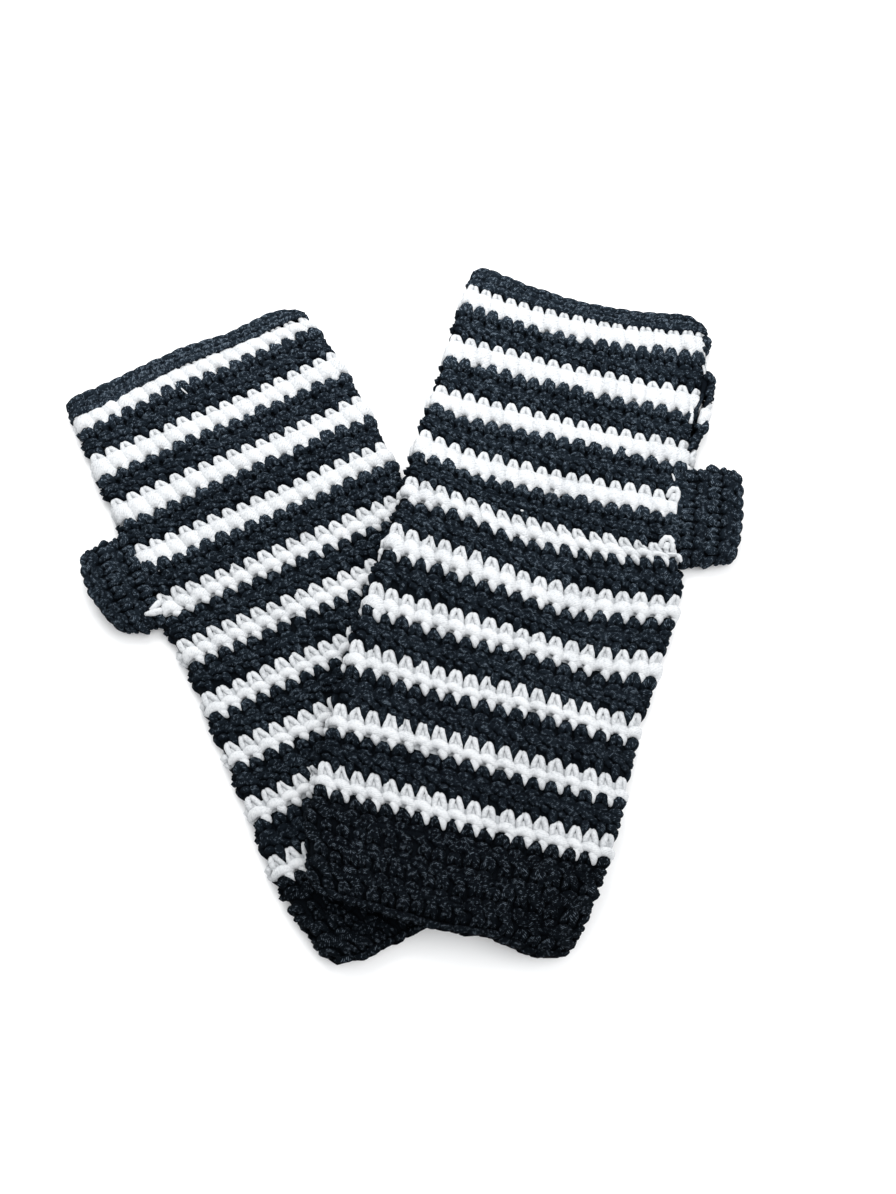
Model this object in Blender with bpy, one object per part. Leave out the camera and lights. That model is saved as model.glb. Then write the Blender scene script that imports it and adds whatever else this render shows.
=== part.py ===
"""A pair of striped crochet fingerless mitts, lying flat, the right mitt resting across the left one.

Each mitt is a flattened tube of thick crochet: a striped hand with a thumb opening in one side edge,
a band worked on its finger end, a plain cuff, and a short thumb tube. Metres, +Z up, +Y towards the
finger ends. Tables are in millimetres; every mitt's tables use its own frame: across, from its middle
line towards +X, and down, from the finger edge towards the hem.
"""

import math

import bmesh
import bpy
from mathutils import Matrix, Vector

MM = 0.001

WALL = 3.2  # one layer of crochet
SLIT = 0.8  # air between the two layers of a mitt that lies flat
THICK = 2 * WALL + SLIT
SEAM = 0.35  # clear distance where two pieces are joined, or where one lies on another
CUFF_STEPS = 7  # lengths that a cuff is made in
THUMB_ACROSS = 6  # straight runs across a thumb, each side
EDGE_STEPS = 4  # straight runs around a folded side edge
MOUTH_GAPE = 1.4  # how much further apart the layers stand at a thumb's mouth
DIP_HALF = 47.0  # how far from the middle line a finger edge's two outer dips are

# How a mitt lies over the one below it.
STACK = THICK + 0.5  # how far the upper mitt is lifted
LEDGE = 5.0  # it stays lifted this far past the lower mitt's outline
FALL = 24.0  # and comes down to the surface over this distance

# What a mitt's table says:
#   finger_edge_at, turn   the middle of its finger edge in the pair's frame, and its turn in degrees
#   outline                rows of down, left, right: how far the side edges are from the middle line
#   finger_dip             how far the finger edge sags at its left end, middle and right end
#   band, cuff_from        where the finger band ends and the cuff starts
#   thumb_side             1 where the thumb is on the right edge, -1 on the left
#   thumb_opening          where the side edge is open for the thumb
#   thumb                  rows of share, top, bottom: share of the way out to the mouth, and its side edges
#   thumb_mouth            how far the mouth's top and bottom are from the middle line
#   mouth_bulge            how much further out the middle of the mouth is
#   across, steps          straight runs across one layer, and down the hand above, beside, below the thumb

RIGHT_MITT = {
    "name": "right",
    "finger_edge_at": (73.6, 120.2),
    "turn": -13.94,
    "outline": (
        (0.0, 45.5, 46.5),
        (5.0, 47.5, 49.0),
        (12.0, 48.2, 50.5),
        (30.0, 49.0, 54.0),
        (66.0, 49.3, 51.5),
        (106.0, 49.6, 56.6),
        (118.0, 50.0, 57.0),
        (140.0, 51.0, 55.0),
        (165.0, 51.8, 51.8),
        (205.0, 51.6, 50.0),
        (226.0, 49.0, 47.8),
        (239.0, 45.5, 45.2),
        (248.0, 41.0, 39.6),
    ),
    "finger_dip": (-0.7, 7.0, 5.0),
    "band": 13.4,
    "cuff_from": 214.4,
    "thumb_side": 1,
    "thumb_opening": (67.0, 106.0),
    "thumb_mouth": (69.5, 72.0),
    "mouth_bulge": 1.2,
    "thumb": (
        (0.0, 67.4, 105.6),
        (0.2, 67.4, 105.6),
        (0.5, 64.4, 104.4),
        (0.85, 62.8, 102.2),
        (1.0, 64.0, 99.6),
    ),
    "across": 16,
    "steps": (6, 4, 16),
}

LEFT_MITT = {
    "name": "left",
    "finger_edge_at": (-82.6, 96.2),
    "turn": 25.81,
    "outline": (
        (0.0, 48.5, 43.0),
        (5.0, 51.0, 46.0),
        (12.0, 51.4, 47.5),
        (30.0, 51.8, 49.6),
        (62.0, 51.2, 51.0),
        (103.0, 50.4, 49.4),
        (120.0, 48.4, 49.2),
        (180.0, 48.2, 49.2),
        (200.0, 49.2, 48.8),
        (215.0, 46.6, 47.8),
        (227.0, 44.4, 46.0),
        (234.6, 40.5, 42.5),
    ),
    "finger_dip": (3.9, 1.8, 3.2),
    "band": 13.0,
    "cuff_from": 203.8,
    "thumb_side": -1,
    "thumb_opening": (63.0, 103.0),
    "thumb_mouth": (67.2, 67.2),
    "mouth_bulge": 3.0,
    "thumb": (
        (0.0, 63.4, 102.6),
        (0.25, 63.4, 102.6),
        (0.55, 63.2, 101.0),
        (0.85, 64.2, 98.6),
        (1.0, 66.4, 95.8),
    ),
    "across": 8,
    "steps": (4, 3, 8),
}

DARK_YARN = (0.014, 0.019, 0.026)
STRIPED_YARN = (0.33, 0.34, 0.36)  # dark and white stripes of equal height, taken together
YARN_ROUGHNESS = 0.9


def clear_scene():
    for thing in list(bpy.data.objects):
        bpy.data.objects.remove(thing)


def yarn_material(name, colour):
    material = bpy.data.materials.new(name)
    material.use_nodes = True
    shader = material.node_tree.nodes["Principled BSDF"]
    shader.inputs["Base Color"].default_value = (*colour, 1)
    shader.inputs["Roughness"].default_value = YARN_ROUGHNESS
    shader.inputs["Metallic"].default_value = 0
    material.diffuse_color = (*colour, 1)
    return material


def smooth(share):
    share = min(max(share, 0.0), 1.0)
    return share * share * (3 - 2 * share)


def read_table(rows, at):
    """The other columns of a table at a value of its first one, straight from row to row."""
    if at <= rows[0][0]:
        return rows[0][1:]
    for row, following in zip(rows, rows[1:]):
        if at <= following[0]:
            share = (at - row[0]) / (following[0] - row[0])
            return tuple(a + (b - a) * share for a, b in zip(row[1:], following[1:]))
    return rows[-1][1:]


def steps_between(first, last, count):
    return [first + (last - first) * i / count for i in range(count + 1)]


def frame_of(mitt):
    """From a mitt's own frame, with its Y pointing at the fingers, to the pair's frame."""
    x, y = mitt["finger_edge_at"]
    return Matrix.Translation((x, y, 0)) @ Matrix.Rotation(math.radians(mitt["turn"]), 4, "Z")


def lift_over(lower, x, y):
    """How high the upper mitt lies at a place in the pair's frame, from its distance to the lower one."""
    across, up, _ = frame_of(lower).inverted() @ Vector((x, y, 0))
    half = max(max(row[1:]) for row in lower["outline"])
    length = lower["outline"][-1][0]
    beside = max(abs(across) - half, 0.0)
    beyond = max(-up - length, up, 0.0)
    away = math.hypot(beside, beyond)
    return STACK * smooth(1 - (away - LEDGE) / FALL)


def dip_of(mitt, across, down):
    """How far the finger edge sags from a straight line, fading out down the band."""
    left, middle, right = mitt["finger_dip"]
    side = max(min(across / DIP_HALF, 1.0), -1.0)
    sag = middle * (1 - side * side) + (right if side > 0 else left) * side * side
    return sag * max(0.0, 1 - down / mitt["band"])


def flat_section(low, high, thick, across):
    """A flattened tube's outline between two side edges, as (place, height) pairs from the underside."""
    round_edge = thick / 2
    first, last = low + round_edge, high - round_edge
    underside = [(place, 0.0) for place in steps_between(first, last, across)]
    turns = [math.pi * i / EDGE_STEPS for i in range(1, EDGE_STEPS)]
    right = [(last + round_edge * math.sin(t), round_edge - round_edge * math.cos(t)) for t in turns]
    topside = [(place, thick) for place in steps_between(last, first, across)]
    left = [(first - round_edge * math.sin(t), round_edge + round_edge * math.cos(t)) for t in turns]
    return underside + right + topside + left


def wall_sections(low, high, thick, across):
    """The outer and the inner outline of one section of a wall."""
    outer = flat_section(low, high, thick, across)
    inner = flat_section(low + WALL, high - WALL, thick - 2 * WALL, across)
    return outer, [(place, height + WALL) for place, height in inner]


def tube(name, rings, open_cells, material, parent):
    """A wall through pairs of rings, outer and inner, open at both ends and where cells are left out."""
    mesh = bmesh.new()
    rows = [[[mesh.verts.new(point * MM) for point in ring] for ring in pair] for pair in rings]
    inner_of = {}
    for outer, inner in rows:
        inner_of.update(zip(outer, inner))
    outside = []
    for i, (row, following) in enumerate(zip(rows, rows[1:])):
        for k in range(len(row[0])):
            if (i, k) not in open_cells:
                after = (k + 1) % len(row[0])
                outside.append((row[0][k], row[0][after], following[0][after], following[0][k]))
    for corners in outside:
        mesh.faces.new(corners)
    rims = [edge.verts[:] for edge in mesh.edges if len(edge.link_faces) == 1]
    for corners in outside:
        mesh.faces.new([inner_of[corner] for corner in reversed(corners)])
    for a, b in rims:
        mesh.faces.new((a, b, inner_of[b], inner_of[a]))
    loose = [v for v in mesh.verts if not v.link_faces]
    bmesh.ops.delete(mesh, geom=loose, context="VERTS")
    bmesh.ops.recalc_face_normals(mesh, faces=mesh.faces)
    data = bpy.data.meshes.new(name)
    mesh.to_mesh(data)
    mesh.free()
    data.materials.append(material)
    data.shade_smooth()
    data.set_sharp_from_angle(angle=math.radians(50))
    piece = bpy.data.objects.new(name, data)
    piece.parent = parent
    return piece


def body_rings(mitt, lower, stations):
    """Rings around a mitt's body at some distances down it, lifted where it lies on the lower mitt."""
    place = frame_of(mitt)
    rings = []
    for down in stations:
        left, right = read_table(mitt["outline"], down)
        pair = []
        for section in wall_sections(-left, right, THICK, mitt["across"]):
            ring = []
            for across, height in section:
                ring.append(Vector((across, -down - dip_of(mitt, across, down), height)))
            if lower:
                for point in ring:
                    x, y, _ = place @ point
                    point.z += lift_over(lower, x, y)
            pair.append(ring)
        rings.append(pair)
    return rings


def edge_cells(mitt):
    """The ring cells that turn around the side edge where the thumb is."""
    after_underside = mitt["across"]
    if mitt["thumb_side"] > 0:
        return range(after_underside, after_underside + EDGE_STEPS)
    around = 2 * mitt["across"] + 2 * EDGE_STEPS
    return range(around - EDGE_STEPS, around)


def build_hand(mitt, lower, parent):
    top, bottom = mitt["thumb_opening"]
    above, beside, below = mitt["steps"]
    stations = steps_between(mitt["band"] + SEAM / 2, top, above)
    first_open = len(stations) - 1
    stations += steps_between(top, bottom, beside)[1:]
    first_closed = len(stations) - 1
    stations += steps_between(bottom, mitt["cuff_from"] - SEAM / 2, below)[1:]
    opening = {(i, k) for i in range(first_open, first_closed) for k in edge_cells(mitt)}
    material = yarn_material(mitt["name"] + "_hand_yarn", STRIPED_YARN)
    tube(mitt["name"] + "_hand", body_rings(mitt, lower, stations), opening, material, parent)


def build_finger_band(mitt, parent):
    stations = [0.0, 5.0, mitt["band"] - SEAM / 2]
    material = yarn_material(mitt["name"] + "_finger_band_yarn", DARK_YARN)
    tube(mitt["name"] + "_finger_band", body_rings(mitt, None, stations), (), material, parent)


def build_cuff(mitt, lower, parent):
    stations = steps_between(mitt["cuff_from"] + SEAM / 2, mitt["outline"][-1][0], CUFF_STEPS)
    material = yarn_material(mitt["name"] + "_cuff_yarn", DARK_YARN)
    tube(mitt["name"] + "_cuff", body_rings(mitt, lower, stations), (), material, parent)


def build_thumb(mitt, parent):
    """A short tube from the opening in the side edge, its rings standing across the mitt."""
    side = mitt["thumb_side"]
    top_mouth, bottom_mouth = mitt["thumb_mouth"]
    rings = []
    for share, top, bottom in mitt["thumb"]:
        pair = []
        for section in wall_sections(top, bottom, THICK + MOUTH_GAPE * share, THUMB_ACROSS):
            ring = []
            for down, height in section:
                along = (down - top) / (bottom - top)
                left, right = read_table(mitt["outline"], down)
                start = (right if side > 0 else left) - THICK / 2 + SEAM
                end = top_mouth + (bottom_mouth - top_mouth) * along
                end += mitt["mouth_bulge"] * 4 * along * (1 - along)
                ring.append(Vector((side * (start + (end - start) * share), -down, height)))
            pair.append(ring)
        rings.append(pair)
    material = yarn_material(mitt["name"] + "_thumb_yarn", DARK_YARN)
    tube(mitt["name"] + "_thumb", rings, (), material, parent)


def build_mitt(mitt, lower, pair):
    stand = bpy.data.objects.new(mitt["name"] + "_mitt", None)
    stand.parent = pair
    stand.location = Vector((*mitt["finger_edge_at"], 0)) * MM
    stand.rotation_euler = (0, 0, math.radians(mitt["turn"]))
    build_finger_band(mitt, stand)
    build_hand(mitt, lower, stand)
    build_cuff(mitt, lower, stand)
    build_thumb(mitt, stand)
    return stand


def centre_on_origin(pair):
    """Moves the pair so that the middle of its bounding box is over the origin."""
    bpy.context.view_layer.update()
    pieces = [thing for stand in pair.children for thing in stand.children]
    corners = [piece.matrix_world @ vertex.co for piece in pieces for vertex in piece.data.vertices]
    for axis in (0, 1):
        places = [corner[axis] for corner in corners]
        pair.location[axis] = -(min(places) + max(places)) / 2


def link_tree(collection, top):
    collection.objects.link(top)
    for child in top.children:
        link_tree(collection, child)


def main():
    clear_scene()
    collection = bpy.data.collections.new("crochet_fingerless_mitts")
    bpy.context.scene.collection.children.link(collection)
    pair = bpy.data.objects.new("pair", None)
    build_mitt(LEFT_MITT, None, pair)
    build_mitt(RIGHT_MITT, LEFT_MITT, pair)
    link_tree(collection, pair)
    centre_on_origin(pair)


main()
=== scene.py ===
"""A pair of striped crochet fingerless mitts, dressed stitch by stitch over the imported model.

Each mitt is a flattened tube of crochet. Its cloth is a thin shell, and every stitch on it is modelled in
yarn. Lengths are in millimetres until a mesh is made. A mitt's own frame: across, from its middle line
towards +X, and down, from the finger edge towards the hem. Its front layer is the one that faces up.
"""

import math
from functools import partial

import bmesh
import bpy
import numpy as np
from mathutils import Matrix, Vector


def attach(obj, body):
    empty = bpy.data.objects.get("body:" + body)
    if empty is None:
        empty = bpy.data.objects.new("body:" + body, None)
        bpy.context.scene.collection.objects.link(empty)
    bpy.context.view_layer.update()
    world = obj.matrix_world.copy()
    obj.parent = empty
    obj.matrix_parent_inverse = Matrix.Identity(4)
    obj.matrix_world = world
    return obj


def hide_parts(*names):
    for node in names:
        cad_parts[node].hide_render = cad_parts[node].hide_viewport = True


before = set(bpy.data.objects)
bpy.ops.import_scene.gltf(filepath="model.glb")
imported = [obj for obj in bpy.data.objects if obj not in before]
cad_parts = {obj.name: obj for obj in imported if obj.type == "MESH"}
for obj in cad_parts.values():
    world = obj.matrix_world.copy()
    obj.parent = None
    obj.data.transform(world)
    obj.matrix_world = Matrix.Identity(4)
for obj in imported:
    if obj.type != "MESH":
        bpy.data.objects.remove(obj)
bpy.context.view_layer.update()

MM = 0.001

# The mitts as the part's source lays them out.
WALL = 3.2  # one layer of crochet
THICK = 7.2  # a mitt that lies flat
MIDDLE = THICK / 2  # height of its middle plane
BEND = THICK / 2 - WALL / 2  # radius that a side edge turns on, at the middle of the cloth
STACK = THICK + 0.5  # how far the upper mitt is lifted
LEDGE = 5  # it stays lifted this far past the lower mitt's outline
FALL = 24  # and comes down to the table over this distance
MOUTH_GAPE = 1.4  # how much further apart the layers stand at a thumb's mouth

THUMB_LENGTH = 21
THUMB_START = 1.2  # how far outside the hub of the side edge's fold its cloth starts
OPEN_INSET = 2  # how far inside its opening the side edge is quite open
OPEN_FADE = 5  # length in which it goes from there to folded

LOWEST = 0.04  # yarn that would press into the table is flattened towards this height
SETTLE = 0.6  # and what is less than this above it is squeezed

COLUMNS = 18  # stitches across one layer of a mitt
AROUND = 2 * COLUMNS
THUMB_COLUMNS = 7  # and across one layer of a thumb
TURN_STEP = 0.5  # stitches between two of the cloth's own lines
TURNS = np.arange(0, AROUND, TURN_STEP)
ON_FRONT = TURNS <= COLUMNS

# Nominal sizes, in which stitches are drawn. A mitt's own lines stretch them.
PITCH = 5.75  # a stitch's width
PERIOD = 20.6  # height of a white and a dark stripe together
TEETH = 4.6  # of the white teeth
WHITE_HEIGHT = 8  # of a white stripe
CUFF_HEIGHT = 34
CUFF_ROW = 9.2
BAND_HEIGHT = 8.2
EDGE_HALF = 49.5  # half the width that the tables of edges run over

FINE, COARSE = (7, 9), (4, 5)  # rings and sides of a strand
LAYERS = (("top", FINE, False), ("under", COARSE, True))  # the last says which is the back one
CAP = 0.55  # how far a strand's end stands out, in radii
FULL_ROWS = 0.8  # rows with shorter points than this have rounder stitches
CURVE_END = 1.1  # where a row's curve ends, in half widths
SHIFT = 0.3  # stitches by which the front layer's rows stand off its left edge
SQUEEZE = 0.25  # what is left of a stitch's width past the end of a short row
EDGE_SHARE = 0.5  # width of the back layer's stitches that show beside the front one
STAGGER = (0, -0.45, 0.2, -0.25)  # stitches by which a cuff's or thumb's rows are moved

# How uneven stitches are, as normal spreads: place, lean, size, height of what stands out, depth.
JOG, TILT, SIZE, RAISE, SUNK = 0.15, 0.045, 0.035, 0.08, 0.07
WAVE, PHASES = 0.25, 6.28  # spread of a whole row's waves, and the range that their starts are drawn from
# By kind of row: the seed of its waves, and how many times as uneven its stitches are.
ROWS = {"white": (100, 1), "dark": (300, 1.3), "cuff_top": (500, 1.3), "cuff": (500, 2.2), "hem": (510, 1.6),
        "band": (700, 0.6), "band_points": (702, 1)}
THUMB_MESS, RIM_MESS = 1.2, 0.8
random = np.random.default_rng(7)

# What a mitt's table says, in rows where it has several:
# at, turn: the middle of its finger edge in the pair's frame, and its turn in degrees
# thumb_side: 1 where the thumb is on the right edge, -1 on the left
# outline: down, and how far the solid's left and right edges are from the middle line
# front_edge, back_edge: down, and how far that layer's right edge is
# finger_edge, hem_edge, band_edge: across and down; a band without its own follows the white tips
# finger_edge_back: how much further down the back layer's is on the thumb's side
# tips, dark_tips: how far down its white and dark points start: left edge, middle, right edge
# teeth, fangs: how high its teeth are, and what share of their full length its lower points have
# band_over: how much higher the band's yarn stands
# band, cuff_from: where the cloth of the hand and of the cuff starts
# back_shift: down, and how much further down the back layer's rows are on the thumb's side
# rolled: how many stripes show the back layer's edge beside the front one
# by_thumb: stripes that end at the thumb: width of their stitches, and where the last is squeezed
# loose_white, loose_dark: loose bits of yarn: across, down, height over the cloth and radius
# thumb_opening: where the side edge is open for the thumb
# thumb: share of the way out to the mouth, and its side edges there
# thumb_mouth, mouth_bulge: how far out the mouth's top and bottom are, and how much further its middle
# thumb_root: stitches where the thumb's own cloth reaches onto the front layer

EDGE_BELOW = ((118, 57), (140, 55), (165, 51.8), (205, 50), (226, 47.8), (239, 45.2), (243, 44), (246, 42),
              (248, 39.6))
RIGHT = {
    "name": "right",
    "at": (73.474, 120.787),
    "turn": -13.94,
    "thumb_side": 1,
    "outline": ((0, 45.5, 46.5), (5, 47.5, 49), (12, 48.2, 50.5), (30, 49, 54), (66, 49.3, 51.5),
                (106, 49.6, 56.6), (118, 50, 57), (140, 51, 55), (165, 51.8, 51.8), (205, 51.6, 50),
                (226, 49, 47.8), (239, 45.5, 45.2), (248, 41, 39.6)),
    "front_edge": ((0, 46), (12, 47.5), (22, 48), (30, 50), (40, 50), (50, 49), (62, 49.5), (92, 49.8),
                   (98, 50.1), (103, 51.3), (107, 53.6), (113, 57), *EDGE_BELOW),
    "back_edge": ((0, 46.5), (5, 48.3), (12, 49.6), (20, 49.8), (25, 50.6), (30, 54.4), (38, 55.4),
                  (42, 54.6), (48, 54.2), (53, 53.4), (60, 52.8), (66, 52), (106, 56.6), *EDGE_BELOW),
    "finger_edge": ((-50, 5.5), (-49, 3.4), (-47, 1.9), (-43, 1.6), (-38, 3), (-32, 4), (-26, 5.7),
                    (-19, 6.4), (-10, 7.6), (0, 8), (10, 7.7), (22, 6.8), (33, 5.2), (39, 4.3), (43, 4.4),
                    (47, 6.3), (50, 8.8)),
    "finger_edge_back": 2.5,
    "tips": ((9.2, 13.8, 9), (33.6, 35.8, 34.2), (56.5, 58.8, 57.5), (78.5, 80.2, 79.8), (99.8, 101.5, 99.6),
             (118.2, 122.8, 117.8), (140.8, 144.8, 139.4), (163, 165.8, 163.2), (185.8, 187.2, 185.8),
             (206, 206.8, 206.2)),
    "dark_tips": ((21, 25, 21), (45.5, 47.5, 46.5), (68, 69, 68.5), (91, 91, 89.5), (108.5, 110.5, 104.4),
                  (129, 133, 127), (151, 154, 150), (172.8, 174, 172.4), (195, 195.5, 194.4),
                  (214.5, 214.8, 214.2)),
    "teeth": (3.6, 3.7, 3.9, 4.2, 3.6, 4.3, 4.4, 4.8, 4.6, 4.4),
    "fangs": (0.4, 0.4, 0.5, 0.6, 0.85, 1, 1, 1, 1, 1),
    "band_edge": None,
    "band_over": 0,
    "hem_edge": ((-50, 244.6), (-44, 246.4), (-38, 247.2), (-20, 247.4), (-5, 248), (8, 248), (20, 246.8),
                 (30, 248), (38, 248.7), (44, 248.3), (50, 246)),
    "cuff_from": 214.4,
    "band": 13.4,
    "back_shift": ((10, 8), (21, 5.8), (34, 5), (46, 3.2), (58, 2)),
    "rolled": 3,
    "by_thumb": {3: (1, 17.85), 4: (1.008, 18.2)},
    "loose_white": (
        ((44.9, 72.4, 1.2, 0.25), (45.6, 73.8, 1.6, 0.42), (46.4, 75.6, 1.3, 0.35)),
        ((46.9, 43.2, 0.9, 0.9), (47.5, 46.4, 1.3, 0.95), (47.9, 50, 0.9, 0.75)),
        ((48.4, 24.2, 0.2, 0.45), (49.2, 26.2, 0.3, 0.5), (50, 28.8, 0.2, 0.4)),
        ((52.3, 103.6, 1.8, 0.6), (53, 104.6, 2.3, 0.9), (53.8, 105.8, 1.7, 0.65)),
        ((45, 81.6, 0.6, 1), (45.5, 79.2, 1.1, 1.1), (46.7, 78.2, 1.4, 1.2), (48, 78.7, 1.3, 1.15),
         (48.5, 81, 0.9, 1.1), (48.6, 84, 0.5, 1)),
        ((46.9, 82.6, 0.5, 1.3), (47, 80.2, 0.9, 1.2)),
        ((45.8, 101.8, 0.7, 1), (46.3, 98.8, 1.2, 1.15), (47.6, 97.9, 1.5, 1.2), (49.1, 98.2, 1.4, 1.15),
         (50, 100, 1.1, 1.1), (50.4, 102.4, 0.6, 1)),
        ((47.8, 102, 0.6, 1.3), (48.1, 99.8, 1, 1.25)),
        ((-5.5, 100, 1.6, 0.3), (-5, 100.2, 1.8, 0.4), (-4.5, 100.1, 1.6, 0.3)),
        ((37.6, 131, 1.6, 0.3), (38.1, 131.4, 1.9, 0.45), (38.6, 131.9, 1.6, 0.3)),
    ),
    "loose_dark": (
        ((49.9, 80.5, 0.6, 0.9), (49.8, 83.5, 1, 1.15), (49.9, 86.5, 1, 1.15), (50, 89.5, 0.6, 1)),
        ((49.4, 27, -1.2, 0.9), (50.2, 30, -1, 1.2), (50.4, 33.5, -0.9, 1.2), (50.2, 37, -0.9, 1)),
        ((50.3, 36.5, 0.2, 0.8), (49.9, 39.5, 0.5, 0.9), (49.2, 42.6, 0.7, 0.85), (49, 45.4, 0.7, 0.85),
         (49.3, 47.8, 0.2, 0.8)),
    ),
    "thumb_opening": (67, 106),
    "thumb_mouth": (69.8, 73),
    "mouth_bulge": 1.2,
    "thumb_root": (0, 1, 4, 5),
    "thumb": ((0, 68.6, 106.6), (0.2, 67.6, 105.8), (0.4, 66.4, 104.2), (0.65, 65.2, 102.8),
              (0.85, 65.2, 101.4), (1, 66.2, 100)),
}
LEFT_EDGE = ((0, 41), (5, 44.5), (12, 46.2), (20, 48), (30, 49.6), (62, 51), (103, 49.4), (180, 49.2),
             (200, 48.8), (215, 47.8), (227, 46), (234.6, 42.5))
LEFT = {
    "name": "left",
    "at": (-82.726, 96.787),
    "turn": 25.81,
    "thumb_side": -1,
    "outline": ((0, 48.5, 43), (5, 51, 46), (12, 51.4, 47.5), (30, 51.8, 49.6), (62, 51.2, 51),
                (103, 50.4, 49.4), (120, 48.4, 49.2), (180, 48.2, 49.2), (200, 49.2, 48.8),
                (215, 46.6, 47.8), (227, 44.4, 46), (234.6, 40.5, 42.5)),
    "front_edge": LEFT_EDGE,
    "back_edge": LEFT_EDGE,
    "finger_edge": ((-50, 8), (-48, 6.2), (-43, 5.2), (-30, 5.3), (-20, 4.4), (-10, 4.1), (0, 3), (10, 3.8),
                    (20, 4.8), (27, 4), (40, 3.3), (45, 4.6), (48, 7), (50, 9.5)),
    "finger_edge_back": 0,
    "tips": ((11.4, 8.4, 10), (31.3, 30.8, 28.8), (50.8, 51.8, 50.3), (71, 72.2, 72.6), (92.6, 93.2, 92.8),
             (111.8, 112.4, 111.8), (132.3, 132.9, 132.3), (152.3, 152.9, 152.3), (172.3, 172.9, 172.3),
             (193.3, 193.9, 193.3)),
    "dark_tips": ((21.5, 18.8, 18), (43, 41.3, 40.3), (63.3, 62.5, 62.3), (82.5, 82.5, 82.5),
                  (102.3, 102.3, 102), (121.5, 121.5, 121.3), (141, 141.2, 141), (161, 161.2, 161),
                  (181, 181.2, 181), (201.5, 201.7, 201.5)),
    "teeth": (3, 3.6, 3.8, 4, 4.2, 4.4, 4.6, 4.6, 4.6, 4.4),
    "fangs": (0.4, 0.5, 0.6, 0.75, 0.9, 1, 1, 1, 1, 1),
    "band_edge": ((-50, 13.6), (-38, 15.2), (-31, 15.4), (-26, 13.8), (-15, 12.4), (-8, 11.8), (-2, 10.6),
                  (10, 10.8), (20, 11.5), (28, 12.2), (33, 10.8), (50, 10.2)),
    "band_over": 0.5,
    "hem_edge": ((-50, 232.4), (-44, 234), (-38, 235), (-20, 235), (0, 234.6), (20, 234.4), (38, 234.2),
                 (44, 233), (50, 231)),
    "cuff_from": 203.8,
    "band": 13,
    "back_shift": ((0, -3),),
    "rolled": 0,
    "by_thumb": {3: (0.99, None), 4: (0.99, None)},
    "loose_white": (
        ((-47.6, 99.2, 1.2, 1.4), (-50.2, 98.8, 1.7, 1.3), (-53, 98.2, 1.8, 0.7)),
        ((-46.8, 96, 1.3, 1.2), (-48.6, 96.7, 1.7, 1.2), (-50.6, 97.7, 1.8, 0.9)),
        ((-10.6, 16.8, 2.4, 0.3), (-9.4, 20, 2.7, 0.35), (-8, 23.4, 2.5, 0.25)),
    ),
    "loose_dark": (((-48.6, 63.4, 0.2, 0.9), (-49.6, 63.2, -0.4, 1.1), (-50.4, 64.4, -0.9, 1.1)),),
    "thumb_opening": (63, 103),
    "thumb_mouth": (66.2, 63.6),
    "mouth_bulge": 3.4,
    "thumb_root": (),
    "thumb": ((0, 64.8, 104.2), (0.3, 65.7, 103), (0.6, 65.6, 102), (0.85, 66, 100.4), (1, 67.2, 98.4)),
}


def column(rows, at, k):
    """Column k of a table at the values of its first one, straight from row to row."""
    return np.interp(at, [row[0] for row in rows], [row[k] for row in rows])


def smooth(share):
    """From 0 to 1, gently at both ends."""
    share = np.clip(share, 0.0, 1.0)
    return share * share * (3 - 2 * share)


def settled(z):
    """Heights squeezed against the table, each lower one still below the next."""
    over = z - LOWEST
    return LOWEST + np.where(over < SETTLE, SETTLE * np.exp(np.minimum(over / SETTLE, 1) - 1), over)


def lift_over(lower, x, y):
    """How high the upper mitt lies at a place, from its distance to the lower one."""
    turn = math.radians(lower["turn"])
    dx, dy = x - lower["at"][0], y - lower["at"][1]
    across = dx * math.cos(turn) + dy * math.sin(turn)
    up = -dx * math.sin(turn) + dy * math.cos(turn)
    half = max(max(row[1:]) for row in lower["outline"])
    length = lower["outline"][-1][0]
    beside = np.maximum(np.abs(across) - half, 0)
    beyond = np.maximum(np.maximum(-up - length, up), 0)
    away = np.hypot(beside, beyond)
    return STACK * smooth(1 - (away - LEDGE) / FALL)


def laid(mitt, across, down, z):
    """From a mitt's own frame to the pair's, with the upper mitt lifted over the lower one."""
    turn = math.radians(mitt["turn"])
    x = mitt["at"][0] + across * math.cos(turn) + down * math.sin(turn)
    y = mitt["at"][1] + across * math.sin(turn) - down * math.cos(turn)
    if mitt is RIGHT:
        z = z + lift_over(LEFT, x, y)
    return np.stack([x, y, z], -1)


def open_share(mitt, down):
    """1 where the side edge is open for the thumb and its layers lie flat apart, 0 where it is folded."""
    top, bottom = mitt["thumb_opening"]
    outside = np.maximum(np.maximum(top + OPEN_INSET - down, down - bottom + OPEN_INSET), 0)
    return smooth(1 - outside / OPEN_FADE)


def folded(share, low, high, bend, out):
    """One layer of a tube that lies flat between two side edges; share runs across it, from fold to fold.

    Gives how far along each place is and its height over the middle plane, then the side edge that it turns
    around, -1, 1 or 0 for neither, and how far along it would be if it lay flat.
    """
    quarter = bend * math.pi / 2
    width = high - low - 2 * bend
    arc = share * (width + 2 * quarter)
    on_low = arc < quarter
    on_high = arc > width + quarter
    angle = np.where(on_high, (width + 2 * quarter - arc) / bend, math.pi / 2)
    angle = np.where(on_low, arc / bend, angle)
    side = np.where(on_low, -1.0, np.where(on_high, 1.0, 0.0))
    flat = low + bend + arc - quarter
    hub = np.where(on_low, low + bend, np.where(on_high, high - bend, flat))
    reach = bend + out
    return hub + side * reach * np.cos(angle), reach * np.sin(angle), side, flat


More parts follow.
